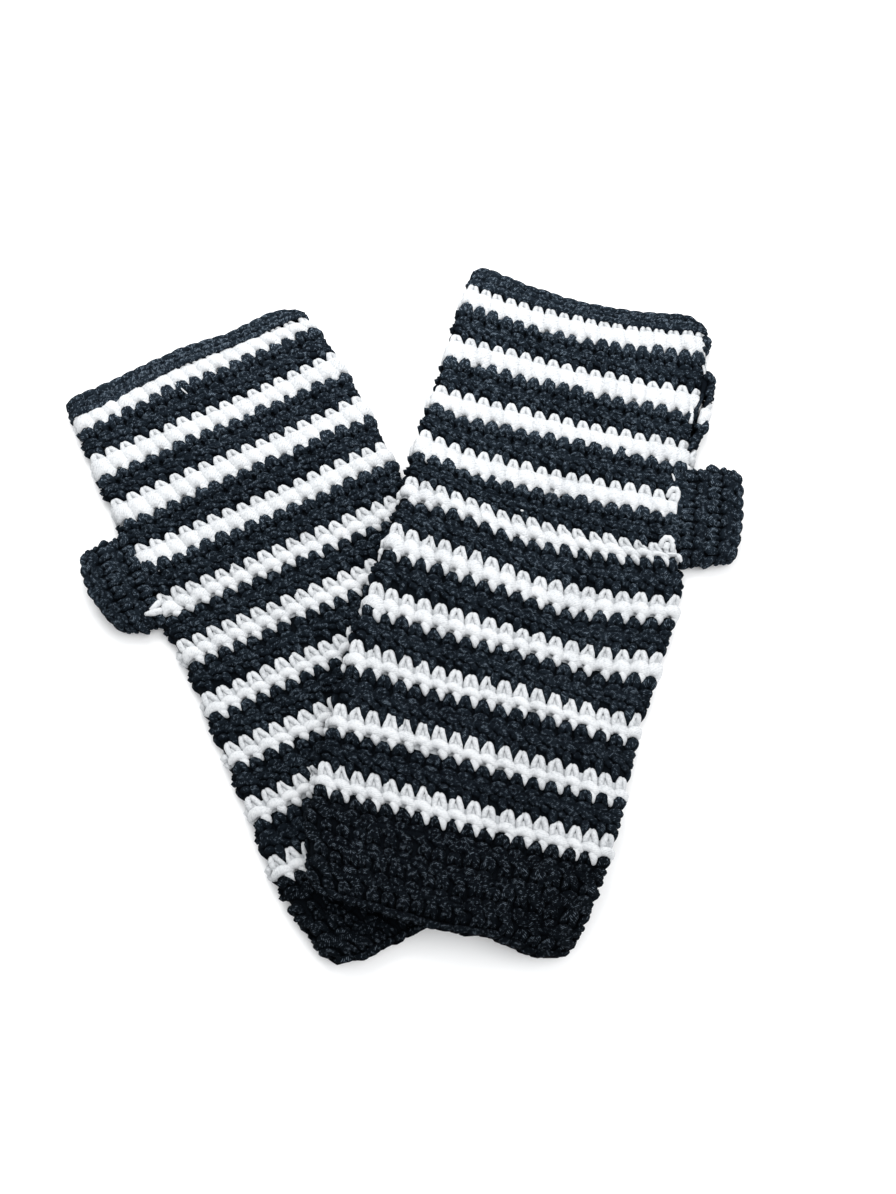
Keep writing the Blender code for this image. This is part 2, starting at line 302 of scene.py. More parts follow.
def around(mitt, place, down, out, back):
    """Places on one layer of a mitt: place counts stitches from its left edge, out is from mid-cloth.

    At the side edges the layer turns around the fold, or goes straight on where it is open for the thumb.
    """
    left = column(mitt["outline"], down, 1) - WALL / 2
    right = column(mitt["back_edge" if back else "front_edge"], down, 1) - WALL / 2
    across, height, side, flat = folded(place / COLUMNS, -left, right, BEND, out)
    opened = open_share(mitt, down) * (side == mitt["thumb_side"])
    across = across + (flat - across) * opened
    height = height + (BEND + out - height) * opened
    return laid(mitt, across, down, settled(MIDDLE - height if back else MIDDLE + height))


def around_thumb(mitt, place, share, out):
    """Places on a thumb: place counts stitches around it from its finger side, share is how far out."""
    place = np.mod(place, 2 * THUMB_COLUMNS)
    back = place > THUMB_COLUMNS
    turned = np.where(back, 2 * THUMB_COLUMNS - place, place) / THUMB_COLUMNS
    top = column(mitt["thumb"], share, 1)
    bottom = column(mitt["thumb"], share, 2)
    spare = MOUTH_GAPE / 2 * np.clip(share, 0, 1)
    down, height, _, _ = folded(turned, top + WALL / 2, bottom - WALL / 2, BEND + spare, out)
    z = settled(MIDDLE + spare + np.where(back, -height, height))
    along = np.clip((down - top) / (bottom - top), 0, 1)
    body = column(mitt["outline"], down, 2 if mitt["thumb_side"] > 0 else 1)
    start = body - THICK / 2 + THUMB_START
    mouth_top, mouth_bottom = mitt["thumb_mouth"]
    end = mouth_top + (mouth_bottom - mouth_top) * along
    end = end + mitt["mouth_bulge"] * 4 * along * (1 - along)
    return laid(mitt, mitt["thumb_side"] * (start + (end - start) * share), down, z)


# -------- lines across a mitt

def from_middle(place):
    """A place across a layer, as -1 at its left edge to 1 at its right one."""
    return 2 * place / COLUMNS - 1


def edge_line(rows, place):
    """How far down an edge is, from its table."""
    return column(rows, from_middle(place) * EDGE_HALF, 1)


def across_line(mitt, row, place, back):
    """A line across one layer, from its values at the left edge, in the middle and at the right edge.

    It is curved on the front layer. On the back layer it is straight, and moved on the thumb's side.
    """
    share = from_middle(place)
    low, middle, high = row
    if not back:
        share = np.clip(share, -CURVE_END, CURVE_END)
        return middle * (1 - share * share) + np.where(share > 0, high, low) * share * share
    side = mitt["thumb_side"]
    fold, seam = (low, high) if side > 0 else (high, low)
    seam = seam + column(mitt["back_shift"], seam, 1)
    return fold + (seam - fold) * (1 + side * share) / 2


def stripe_lines(mitt, k, place, back):
    """How far down stripe k's white tips, its teeth's feet and its dark tips are."""
    last = len(mitt["tips"]) - 1
    nearest = min(max(k, 0), last)
    shift = (k - nearest) * PERIOD
    tips = across_line(mitt, mitt["tips"][nearest], place, back) + shift
    feet = tips + mitt["teeth"][nearest]
    dark = across_line(mitt, mitt["dark_tips"][nearest], place, back) + shift
    return tips, feet, dark


def down_at(mitt, back, k, place, y):
    """From a nominal height y below stripe k's tips to a distance down the mitt."""
    tips, feet, dark = stripe_lines(mitt, k, place, back)
    following = stripe_lines(mitt, k + 1, place, back)[0]
    teeth = tips + (feet - tips) * y / TEETH
    belt = feet + (dark - feet) * (y - TEETH) / (WHITE_HEIGHT - TEETH)
    below = dark + (following - dark) * (y - WHITE_HEIGHT) / (PERIOD - WHITE_HEIGHT)
    return np.where(y < 0, tips + y, np.where(y < TEETH, teeth, np.where(y < WHITE_HEIGHT, belt, below)))


def cuff_at(mitt, back, start, place, y):
    """From a nominal height y, in a row that is start down the cuff, to a distance down the mitt."""
    top = stripe_lines(mitt, len(mitt["tips"]) - 1, place, back)[2]
    return top + (edge_line(mitt["hem_edge"], place) - top) * (y + start) / CUFF_HEIGHT


def finger_line(mitt, place, back):
    """How far down the finger edge is."""
    down = edge_line(mitt["finger_edge"], place)
    if back:
        down = down + mitt["finger_edge_back"] * smooth(mitt["thumb_side"] * from_middle(place))
    return down


BAND_LAP = 1.2  # how far past the first white tips a band goes


def band_at(mitt, back, place, y):
    """From a nominal height below the finger edge to a distance down the mitt."""
    top = finger_line(mitt, place, back)
    if mitt["band_edge"]:
        bottom = edge_line(mitt["band_edge"], place)
    else:
        bottom = stripe_lines(mitt, 0, place, back)[0] + BAND_LAP
    return top + (bottom - top) * y / BAND_HEIGHT


# -------- yarn

TINY = 1e-6  # keeps a direction's length from being nothing


def linked(name, data):
    """A new object in the scene."""
    thing = bpy.data.objects.new(name, data)
    bpy.context.scene.collection.objects.link(thing)
    return thing


def resample(points, count):
    """A smooth line through rows of numbers, as count rows evenly spaced in its parameter."""
    rows = np.array(points, float)
    rows = np.vstack([2 * rows[0] - rows[1], rows, 2 * rows[-1] - rows[-2]])
    at = np.linspace(0, len(points) - 1, count)
    i = np.minimum(at.astype(int), len(points) - 2)
    t = (at - i)[:, None]
    a, b, c, d = rows[i], rows[i + 1], rows[i + 2], rows[i + 3]
    second, third = 2 * a - 5 * b + 4 * c - d, 3 * b - a - 3 * c + d
    return 0.5 * (2 * b + (c - a) * t + second * t * t + third * t ** 3)


def strand(points, rings, sides):
    """A length of yarn through rows of x, y, height and radius: vertices, faces and texture places."""
    line = resample(points, rings)
    centre, radius = line[:, :3], line[:, 3]
    along = np.gradient(centre, axis=0)
    along /= np.linalg.norm(along, axis=1)[:, None]
    aside = np.cross(along, (0, 0, 1.0))
    aside /= np.maximum(np.linalg.norm(aside, axis=1), TINY)[:, None]
    upward = np.cross(aside, along)
    length = np.concatenate([[0], np.cumsum(np.linalg.norm(np.diff(centre, axis=0), axis=1))])
    turn = np.arange(sides) / sides * 2 * math.pi
    outward = np.cos(turn)[:, None] * aside[:, None] + np.sin(turn)[:, None] * upward[:, None]
    ring = centre[:, None] + radius[:, None, None] * outward
    ends = np.array([centre[0] - along[0] * radius[0] * CAP, centre[-1] + along[-1] * radius[-1] * CAP])
    faces, places = [], []
    last = 2 + (rings - 1) * sides
    for k in range(sides):
        after = (k + 1) % sides
        u, v = k / sides, (k + 1) / sides
        faces += [(0, 2 + after, 2 + k), (1, last + k, last + after)]
        places += [((length[0], u), (length[0], v), (length[0], u)),
                   ((length[-1], u), (length[-1], u), (length[-1], v))]
        for i in range(rings - 1):
            low, high = 2 + i * sides, 2 + (i + 1) * sides
            faces.append((low + k, low + after, high + after, high + k))
            places.append(((length[i], u), (length[i], v), (length[i + 1], v), (length[i + 1], u)))
    return np.vstack([ends, ring.reshape(-1, 3)]), faces, places


class Template:
    """Several strands as one set of arrays, ready to be repeated."""

    def __init__(self, strands):
        verts, sizes, corners, places = [], [], [], []
        at = 0
        for points, rings, sides in strands:
            v, f, p = strand(points, rings, sides)
            verts.append(v)
            for face, place in zip(f, p):
                sizes.append(len(face))
                corners.extend(c + at for c in face)
                places.extend(place)
            at += len(v)
        self.verts = np.vstack(verts)
        self.sizes = np.array(sizes)
        self.corners = np.array(corners)
        self.places = np.array(places)


class Lump:
    """Gathers repeated templates and makes them into one mesh."""

    def __init__(self):
        self.verts, self.sizes, self.corners, self.places, self.tones, self.rises = [], [], [], [], [], []
        self.count = 0

    def add(self, template, places):
        """places: the template's vertices as laid, one block per copy, in mm."""
        copies, size = places.shape[:2]
        self.verts.append(places.reshape(-1, 3))
        shift = (np.arange(copies) * size + self.count)[:, None]
        self.corners.append((template.corners[None] + shift).ravel())
        self.sizes.append(np.tile(template.sizes, copies))
        self.places.append(np.tile(template.places, (copies, 1)))
        self.tones.append(np.repeat(random.uniform(0, 1, copies), size))
        self.rises.append(np.tile(template.verts[:, 2], copies))
        self.count += copies * size

    def make(self, name, material):
        """The piece, with each stitch's tone and each vertex's rise for its material."""
        corners, sizes = np.concatenate(self.corners), np.concatenate(self.sizes)
        mesh = bpy.data.meshes.new(name)
        mesh.vertices.add(self.count)
        mesh.vertices.foreach_set("co", (np.vstack(self.verts) * MM).astype(np.float32).ravel())
        mesh.loops.add(len(corners))
        mesh.loops.foreach_set("vertex_index", corners.astype(np.int32))
        mesh.polygons.add(len(sizes))
        starts = np.concatenate([[0], np.cumsum(sizes)[:-1]])
        mesh.polygons.foreach_set("loop_start", starts.astype(np.int32))
        mesh.polygons.foreach_set("use_smooth", np.ones(len(sizes), bool))
        layer = mesh.uv_layers.new(name="yarn")
        layer.data.foreach_set("uv", np.vstack(self.places).astype(np.float32).ravel())
        for key, values in (("tone", self.tones), ("rise", self.rises)):
            mesh.attributes.new(key, "FLOAT", "POINT").data.foreach_set("value", np.concatenate(values))
        mesh.update(calc_edges=True)
        mesh.validate()
        mesh.materials.append(material)
        return linked(name, mesh)


# -------- stitches
# Strands are rows of x, y, height and radius in mm: x runs over one stitch, y down from the tips of the row's
# own stripe, from the top of the cuff in HEM, and from the finger edge in the bands'.

LEG_LEFT = ((1.35, 0.4, -0.2, 0.85), (0.95, 1.1, 0.2, 1.05), (0.75, 2.3, 0.25, 1.05), (0.8, 3.8, 0.15, 1.05),
            (1.1, 5.4, -0.2, 1))
LEG_RIGHT = ((2, 0.4, -0.2, 0.85), (2.65, 1, 0.15, 1.1), (3.25, 2.1, 0.2, 1.1), (3.95, 3.6, 0.15, 1.1),
             (4.5, 5.4, -0.2, 1))
ROUND_LEFT = ((1.65, 0.3, 0, 0.85), (1.2, 1, 0.5, 1), (1, 2.3, 0.55, 1.05), (0.95, 3.8, 0.3, 1.15),
              (1.1, 5.4, -0.2, 1.1))
ROUND_RIGHT = ((2.15, 0.3, 0, 0.85), (2.65, 1, 0.45, 1.05), (3.2, 2.2, 0.5, 1.1), (3.9, 3.7, 0.3, 1.15),
               (4.5, 5.4, -0.2, 1.1))
HEART = ((1.9, 1.6, 0, 0.6), (2.1, 3, -0.15, 0.8), (2.6, 4.6, 0, 1))
DEEP_HEART = ((2, 1.9, -0.45, 0.6), (2.2, 3.2, -0.45, 0.85), (2.7, 4.8, -0.3, 1))
BELT = ((-0.2, 6.6, 0.2, 1.1), (1, 6, 0.8, 1.4), (2.4, 5.7, 1.1, 1.6), (3.8, 6.1, 1.15, 1.7),
        (4.9, 6.7, 1.05, 1.65), (5.8, 7, 0.6, 1.4), (6.7, 6.8, 0, 1.05))
BELT_ABOVE = ((-0.6, 5.4, 0.3, 1.2), (1.2, 5.1, 0.75, 1.4), (3.2, 5.1, 0.8, 1.5), (5.2, 5.4, 0.6, 1.4),
              (6.8, 5.7, 0.1, 1.1))
FANG = ((4, 7.3, 0.7, 1.7), (4.6, 8.3, 0.8, 1.6), (5.1, 9.4, 0.6, 1.3), (5.5, 10.4, 0.2, 0.75))
PEAK_LEFT = ((2.3, 8.3, 0.6, 1), (1.9, 9, 0.9, 1.25), (1.35, 10.2, 0.7, 1.4), (1.1, 12.2, -0.2, 1.1))
PEAK_RIGHT = ((2.7, 8.3, 0.6, 1), (3.1, 8.9, 0.9, 1.3), (3.65, 10, 0.7, 1.45), (4.1, 12.2, -0.2, 1.1))
DOME_LEFT = ((2.3, 8.2, 1.1, 1.2), (1.6, 8.5, 1.5, 1.45), (1.2, 9.9, 1.1, 1.5), (1.1, 12.2, -0.2, 1.1))
DOME_RIGHT = ((2.8, 8.2, 1.1, 1.2), (3.5, 8.5, 1.5, 1.5), (3.9, 9.8, 1.1, 1.5), (4.2, 12.2, -0.2, 1.1))
DOME_FOOT = ((3.9, 10.2, 0.4, 1.1), (5, 9.8, 0.8, 1.3), (6.2, 9.8, 0.8, 1.3), (7.2, 10.2, 0.4, 1.1))
UPPER_OVAL = ((0.3, 14, 0.1, 0.9), (1.6, 13.3, 0.75, 1.25), (3.2, 13.2, 0.85, 1.3), (4.9, 13.8, 0.3, 1))
LOWER_OVAL = ((3, 16.6, 0.2, 1), (4.3, 16.5, 0.8, 1.3), (5.7, 16.8, 0.85, 1.35), (7.1, 17.5, 0.2, 1))
DARK_FLOOR = ((-0.2, 15.2, -0.3, 1.8), (2.9, 15.1, -0.2, 1.9), (5.9, 15.2, -0.3, 1.8))
DARK_LOW = ((0.6, 18.4, 0.2, 1), (1.8, 18.3, 0.4, 1.3), (3.1, 19, 0.2, 1.1))
DARK_FANG = ((4.5, 18.3, 0.3, 1.5), (4.8, 19.8, 0.4, 1.7), (5.2, 21.6, 0.15, 1.45), (5.5, 23.8, -0.4, 0.8))
HEM = ((0, 32.6, 0, 1), (1.4, 33, 0.6, 1.3), (3, 33.2, 0.8, 1.4), (4.8, 33, 0.6, 1.3), (6.4, 32.6, 0.1, 1))
BAND_TOP = ((-1.2, 1.8, 0.2, 1.2), (0.8, 1.6, 0.7, 1.5), (3, 1.5, 0.85, 1.6), (5.2, 1.5, 0.6, 1.5),
            (7, 1.7, 0, 1.2))
BAND_MIDDLE = ((0, 4.8, 0.2, 1.1), (1.5, 4.3, 0.9, 1.5), (3.4, 3.9, 1, 1.6), (5.2, 3.6, 0.6, 1.4),
               (6.5, 3.6, 0.1, 1.1))
BAND_FOOT = ((-0.6, 7, 0.2, 1.2), (1, 6.7, 0.8, 1.5), (3, 6.5, 0.9, 1.55), (5, 6.4, 0.7, 1.5),
             (6.6, 6.6, 0.2, 1.2))
FANG_ROOT = 7.6  # height from which a white stitch's lower point is made longer or shorter


def stitch(parts, detail, long_parts=()):
    """A stitch from its strands. Long ones have half as many rings again."""
    rings, sides = detail
    return Template([(points, rings, sides) for points in parts]
                    + [(points, rings + rings // 2, sides) for points in long_parts])


def white_stitch(detail, fang):
    """One stitch of a white row; fang scales how far its point reaches into the dark row."""
    point = tuple((x, FANG_ROOT + (y - FANG_ROOT) * fang, h, r) for x, y, h, r in FANG)
    if fang < FULL_ROWS:
        return stitch((ROUND_LEFT, ROUND_RIGHT, HEART, point, BELT_ABOVE), detail, (BELT,))
    return stitch((LEG_LEFT, LEG_RIGHT, DEEP_HEART, point), detail, (BELT,))


def dark_stitch(detail, fang):
    """One stitch of a dark row, below a white one whose points reach down by fang."""
    top = (DOME_LEFT, DOME_RIGHT, DOME_FOOT) if fang < FULL_ROWS else (PEAK_LEFT, PEAK_RIGHT)
    return stitch(top + (UPPER_OVAL, LOWER_OVAL, DARK_FLOOR, DARK_LOW, DARK_FANG), detail)


def wobble(seed, place):
    """A slow uneven wave along a row, in mm."""
    own = np.random.default_rng(seed)
    total = 0.0
    for waves in (1, 2, 4):
        height, phase = own.normal(0, WAVE), own.uniform(0, PHASES)
        total = total + height * np.sin(2 * math.pi * waves * place / COLUMNS / 2 + phase)
    return total


def uneven(template, copies, mess=1):
    """Copies of a template in its own plane, each a little off: x, y and height."""
    jog = random.normal(0, JOG * mess, (copies, 2))
    tilt = random.normal(0, TILT * mess, (copies, 1))
    size = 1 + random.normal(0, SIZE * mess, (copies, 1))
    raised = 1 + random.normal(0, RAISE * mess, (copies, 1))
    sunk = random.normal(0, SUNK * mess, (copies, 1))
    x = template.verts[None, :, 0] - PITCH / 2
    middle = template.verts[:, 1].mean()
    y = template.verts[None, :, 1] - middle
    h = template.verts[None, :, 2]
    across = x * size + jog[:, :1] + PITCH / 2 - tilt * y
    down = y * size + middle + jog[:, 1:] + tilt * x
    return across, down, np.where(h > 0, h * raised, h) + sunk


def lay(lump, template, mitt, line, back, kind, row=0, stagger=0, short=None):
    """Repeats a stitch across one layer; line gives how far down a place and a nominal height are.

    The back layer's stitches are mirrored, since they face the other way. A short row ends at the thumb.
    """
    seed, mess = ROWS[kind]
    x, y, h = uneven(template, COLUMNS, mess)
    place = np.arange(COLUMNS)[:, None] + x / PITCH + stagger + (0 if back else SHIFT)
    if short:
        width, end = short
        far = 0 if mitt["thumb_side"] > 0 else COLUMNS
        place = far + (place - far) * width
        if end:
            place = np.minimum(place, end + (place - end) * SQUEEZE)
    if back:
        place = COLUMNS - place
    down = line(place, y) + wobble(seed + row, place)
    lump.add(template, around(mitt, place, down, h, back))


def lay_edge(lump, template, mitt, line, kind, row=0):
    """One narrow stitch more around the back layer's right edge, where it shows beside the front one."""
    x, y, h = uneven(template, 1)
    place = COLUMNS + x / PITCH * EDGE_SHARE
    down = line(place, y) + wobble(ROWS[kind][0] + row, place)
    lump.add(template, around(mitt, place, down, h, True))


def lay_loose(lump, points, mitt):
    """A loose bit of yarn on the front layer."""
    template = stitch((points,), FINE)
    across, down, height = template.verts.T
    lump.add(template, laid(mitt, across, down, MIDDLE + BEND + height)[None])


# -------- materials

PLIES = 12
PLY_LENGTH = 7.5  # length in which a ply goes once around the yarn, in mm
WANDER_SCALE, WANDER = 900, 0.35  # how finely the plies wander, and how far
FLUFF_SCALE, FLUFF_LEVEL = 1300, 0.25  # how fine the fluff is, and where it leaves the colour alone
TONE = 0.1  # how much lighter the lightest stitches are
UNSHADED_HEIGHT = 1.4  # mm over the cloth where the yarn has its own colour; lower yarn is painted darker, higher yarn lighter (painted shade)
HEM_Y, FINGER_Y = -0.12, 0.11  # metres, between which the yarn's painted light changes, lighter towards the fingers
CLOTH_SCALE, CLOTH_SHADE, CLOTH_SPECULAR = 700, 0.6, 0.03
BUMP_STRENGTH = 0.8
YARN_RELIEF, CLOTH_RELIEF = 0.00022, 0.0003  # metres
ROUGHNESS = 0.9
SHEEN_ROUGHNESS = 0.45


def fill(made, values):
    """Sets a node's own sockets."""
    for key, value in values.items():
        made.inputs[key].default_value = value


class Look:
    """A procedural material and its nodes."""

    def __init__(self, name, roughness=ROUGHNESS):
        self.material = bpy.data.materials.new(name)
        self.material.use_nodes = True
        self.tree = self.material.node_tree
        self.shader = self.tree.nodes["Principled BSDF"]
        fill(self.shader, {"Roughness": roughness})

    def node(self, kind, **settings):
        made = self.tree.nodes.new(kind)
        for key, value in settings.items():
            setattr(made, key, value)
        return made

    def wire(self, source, target, key):
        self.tree.links.new(source, target.inputs[key])

    def math(self, operation, *values):
        made = self.node("ShaderNodeMath", operation=operation)
        for socket, value in zip(made.inputs, values):
            if isinstance(value, (int, float)):
                socket.default_value = value
            else:
                self.tree.links.new(value, socket)
        return made.outputs[0]

    def noise(self, places, scale, detail=2):
        made = self.node("ShaderNodeTexNoise")
        fill(made, {"Scale": scale, "Detail": detail})
        self.wire(places, made, "Vector")
        return made.outputs["Fac"]

    def spread(self, value, start, end, to=(0, 1)):
        """A value between start and end, carried over to between the two of to."""
        made = self.node("ShaderNodeMapRange")
        fill(made, {"From Min": start, "From Max": end, "To Min": to[0], "To Max": to[1]})
        self.wire(value, made, "Value")
        return made.outputs["Result"]

    def ramp(self, value, positions, colours):
        made = self.node("ShaderNodeValToRGB")
        stops = made.color_ramp.elements
        for i, (position, colour) in enumerate(zip(positions, colours)):
            stop = stops[i] if i < len(stops) else stops.new(position)
            stop.position, stop.color = position, (*colour, 1)
        self.wire(value, made, "Fac")
        return made.outputs["Color"]

    def bump(self, height, depth):
        made = self.node("ShaderNodeBump")
        fill(made, {"Strength": BUMP_STRENGTH, "Distance": depth})
        self.wire(height, made, "Height")
        self.wire(made.outputs["Normal"], self.shader, "Normal")


def yarn(name, colours, stops, sheen, specular, plied, fluffy, keen, patches, highlight_heights, painted_depth_shade, ends):
    """Twisted yarn, in the colours of its grooves, its plies and their ridges, by lightness at stops: painted
    shade in its grooves and painted highlights on its ridges.

    plied and fluffy are its relief. keen is how narrow its painted highlights on the ridges are, patches a
    noise's scale and the values between which it lets them show, and pile the heights over the cloth between
    which they come up. worn is how much lighter the yarn is painted on top and darker lower down, a painted
    shade by height, and ends how light it is painted at the hems and at the fingers, a painted light that is
    stronger towards the fingers.
    """
    look = Look(name)
    split = look.node("ShaderNodeSeparateXYZ")
    look.wire(look.node("ShaderNodeUVMap", uv_map="yarn").outputs["UV"], split, 0)
    body = look.node("ShaderNodeTexCoord").outputs["Object"]
    around_yarn = look.math("MULTIPLY", split.outputs["Y"], PLIES)
    phase = look.math("MULTIPLY_ADD", split.outputs["X"], PLIES / PLY_LENGTH, around_yarn)
    wander = look.math("MULTIPLY", look.noise(body, WANDER_SCALE, 3), WANDER)
    phase = look.math("MULTIPLY", look.math("ADD", phase, wander), math.pi)
    ridge = look.math("ABSOLUTE", look.math("COSINE", phase))
    fluff = look.noise(body, FLUFF_SCALE, 5)
    relief = look.math("MULTIPLY_ADD", fluff, fluffy, look.math("MULTIPLY", ridge, plied))
    look.bump(relief, YARN_RELIEF)

    tone = look.node("ShaderNodeAttribute", attribute_name="tone").outputs["Fac"]
    rise = look.node("ShaderNodeAttribute", attribute_name="rise").outputs["Fac"]
    scale, closed, opened = patches
    shown = look.spread(look.noise(body, scale), closed, opened)
    # Painted highlights on the ply ridges, in patches, and only where the yarn stands high enough over the
    # cloth
    light = look.math("MULTIPLY", look.math("POWER", ridge, keen), shown)
    light = look.math("MULTIPLY", light, look.math("MULTIPLY", look.spread(rise, *highlight_heights), plied))
    fluff = look.math("SUBTRACT", fluff, FLUFF_LEVEL)
    light = look.math("MULTIPLY_ADD", fluff, fluffy / 2, light)
    light = look.math("MULTIPLY_ADD", tone, TONE, light)
    # Painted shade by height: yarn lower down is painted darker, yarn on top lighter
    light = look.math("MULTIPLY_ADD", look.math("SUBTRACT", rise, UNSHADED_HEIGHT), painted_depth_shade, light)
    colour = look.ramp(light, stops, colours)

    # Painted light: the yarn is painted lighter towards the finger edges and darker towards the hems
    parts = look.node("ShaderNodeSeparateXYZ")
    look.wire(body, parts, 0)
    shaded = look.node("ShaderNodeHueSaturation")
    look.wire(colour, shaded, "Color")
    look.wire(look.spread(parts.outputs["Y"], HEM_Y, FINGER_Y, ends), shaded, "Value")
    look.wire(shaded.outputs["Color"], look.shader, "Base Color")
    fill(look.shader, {"Sheen Weight": sheen, "Sheen Roughness": SHEEN_ROUGHNESS})
    fill(look.shader, {"Specular IOR Level": specular})
    look.material.diffuse_color = (*colours[1], 1)
    return look.material


def ground_cloth(name, colour):
    """The cloth between the stitches, in the shade of the yarn that stands over it."""
    look = Look(name)
    cloud = look.noise(look.node("ShaderNodeTexCoord").outputs["Object"], CLOTH_SCALE)
    shades = look.ramp(cloud, (0, 1), ([c * CLOTH_SHADE for c in colour], colour))
    look.wire(shades, look.shader, "Base Color")
    look.bump(cloud, CLOTH_RELIEF)
    fill(look.shader, {"Specular IOR Level": CLOTH_SPECULAR})
    look.material.diffuse_color = (*colour, 1)
    return look.material


# Each yarn's colours: painted shade in its grooves, its plies, and painted highlights on its ridges
WHITE = yarn(
    "white_yarn", ((0.4, 0.415, 0.43), (0.6, 0.615, 0.63), (0.72, 0.725, 0.73)), stops=(0.12, 0.38, 0.7),
    sheen=0.05, specular=0.2, plied=0.3, fluffy=1.6, keen=1.6, patches=(420, 0, 1), highlight_heights=(-9, -8),
    painted_depth_shade=0.06, ends=(0.9, 1))
DARKS = {"stops": (0, 0.3, 1), "sheen": 0, "specular": 0.02, "plied": 1, "fluffy": 0.3, "highlight_heights": (0.2, 1.8),
         "painted_depth_shade": 0.1}
DARK = yarn("dark_yarn", ((0.0036, 0.0054, 0.008), (0.0118, 0.0177, 0.0248), (0.125, 0.158, 0.195)),
            keen=3.5, patches=(1000, 0.485, 0.65), ends=(0.6, 1.35), **DARKS)
# The cuffs' yarn is the dark yarn painted darker, a painted shade, with a little brighter painted highlights
SHADED_CUFF_YARN = yarn("shaded_cuff_yarn", ((0.0024, 0.0036, 0.0054), (0.0076, 0.0113, 0.0155), (0.13, 0.16, 0.195)),
            keen=3.6, patches=(1000, 0.485, 0.64), ends=(0.55, 1.35), **DARKS)
WHITE_GROUND = ground_cloth("white_ground", (0.52, 0.54, 0.56))
DARK_GROUND = ground_cloth("dark_ground", (0.0028, 0.0042, 0.006))


# -------- the cloth

OUTER, INNER = 0.1, -1.5  # the cloth's two faces, from the middle of the wall


def wall(name, rows, dark=None, missing=None):
    """A thin cloth, closed around, through rows of places on its outer and its inner face.

    dark says which rows of faces are dark, where not all are, and missing which faces are left out.
    """
    outer, inner = rows
    count, ring = outer.shape[:2]
    dark = dark or [1] * (count - 1)
    verts = np.vstack([outer.reshape(-1, 3), inner.reshape(-1, 3)]) * MM
    half = count * ring
    faces, shades = [], []

    def corners(i, k):
        after = (k + 1) % ring
        return i * ring + k, i * ring + after, (i + 1) * ring + after, (i + 1) * ring + k

    cells = [(i, k) for i in range(count - 1) for k in range(ring) if missing is None or not missing[i, k]]
    present = set(cells)
    for i, k in cells:
        a, b, c, d = corners(i, k)
        faces += [(a, b, c, d), (d + half, c + half, b + half, a + half)]
        shades += [dark[i], dark[i]]
    for i, k in cells:
        a, b, c, d = corners(i, k)
        before, after = (k - 1) % ring, (k + 1) % ring
        sides = (((i - 1, k), (a, b)), ((i + 1, k), (c, d)), ((i, before), (d, a)), ((i, after), (b, c)))
        for neighbour, (p, q) in sides:
            if neighbour not in present:
                faces.append((q, p, p + half, q + half))
                shades.append(dark[i])
    mesh = bpy.data.meshes.new(name)
    mesh.from_pydata(verts.tolist(), [], faces)
    mesh.materials.append(WHITE_GROUND)
    mesh.materials.append(DARK_GROUND)
    mesh.polygons.foreach_set("material_index", np.array(shades, np.int32))
    mesh.polygons.foreach_set("use_smooth", np.ones(len(faces), bool))
    mesh.update()
    mesh.validate()
    if missing is not None:
        b = bmesh.new()
        b.from_mesh(mesh)
        bmesh.ops.delete(b, geom=[v for v in b.verts if not v.link_faces], context="VERTS")
        b.to_mesh(mesh)
        b.free()
    return linked(name, mesh)


def ring_places(mitt, downs, out):
    """Places all around a mitt's body, front layer first, for rows of distances down."""
    places = np.tile(TURNS, (len(downs), 1))
    front = around(mitt, places, downs, out, False)
    behind = around(mitt, AROUND - places, downs, out, True)
    return np.where(ON_FRONT[None, :, None], front, behind)


def both_layers(line):
    """A line across the mitt as a ring: line takes places and whether they are on the back layer."""
    return np.where(ON_FRONT, line(TURNS, False), line(AROUND - TURNS, True))


def body_wall(name, mitt, downs, dark=None, missing=None):
    """A piece of a mitt's body cloth through rows of distances down."""
    return wall(name, [ring_places(mitt, downs, out) for out in (OUTER, INNER)], dark, missing)


def between(top, bottom, count):
    """Rows evenly spaced from one row of distances down to another."""
    return np.array([top + (bottom - top) * share for share in np.linspace(0, 1, count)])


def dress(mitt, part, cloth, pieces, downs, rows=None):
    """Puts cloth and yarn in a solid's place: attaches them to the root and hides the solid."""
    if rows is None:
        rows = ring_places(mitt, downs, 0)
    for piece in (cloth, *pieces):
        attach(piece, "root")
    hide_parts(f"{mitt['name']}_{part}")


# -------- the mitts

SHADES = ((2.9, 1), (5.5, 0), (7.6, 0), (16, 1))  # rows in a stripe, and 1 where it is dark above them
LEAST_STEP = 1  # from the hand's first row to the next
GAP_HALF, GAP_OVER = 0.6, 1  # half the width of a thumb's gap, in stitches, and its spare length
HEM_INSET = 2.2  # how far above the hem the cuff's cloth ends
CUFF_CLOTH_ROWS, BAND_CLOTH_ROWS = 8, 3
BAND_INSET = 1.2  # how far below the finger edge the band's cloth starts
BAND_TUCK = 3  # how far it runs on under the hand's yarn
THUMB_CLOTH_ROWS, THUMB_CLOTH_END = 7, 0.95  # it ends at this share of the way to the mouth
THUMB_ROWS, THUMB_ROOT = (-8, 1), -12  # how far out its rows of stitches are moved
THUMB_RIM = THUMB_LENGTH - 34.6  # and its rim, which is drawn as a hem
THUMB_SUNK, THUMB_RISE = 0.7, 0.2  # how deep stitches lie at its root, and the share up to where they do


def beside_thumb(mitt, turns, down):
    """True where a mitt's side edge is open for its thumb."""
    seam = COLUMNS if mitt["thumb_side"] > 0 else 0
    gap = np.mod(turns - seam + COLUMNS, AROUND) - COLUMNS
    top, bottom = mitt["thumb_opening"]
    return (np.abs(gap) < GAP_HALF) & (down > top - GAP_OVER) & (down < bottom + GAP_OVER)


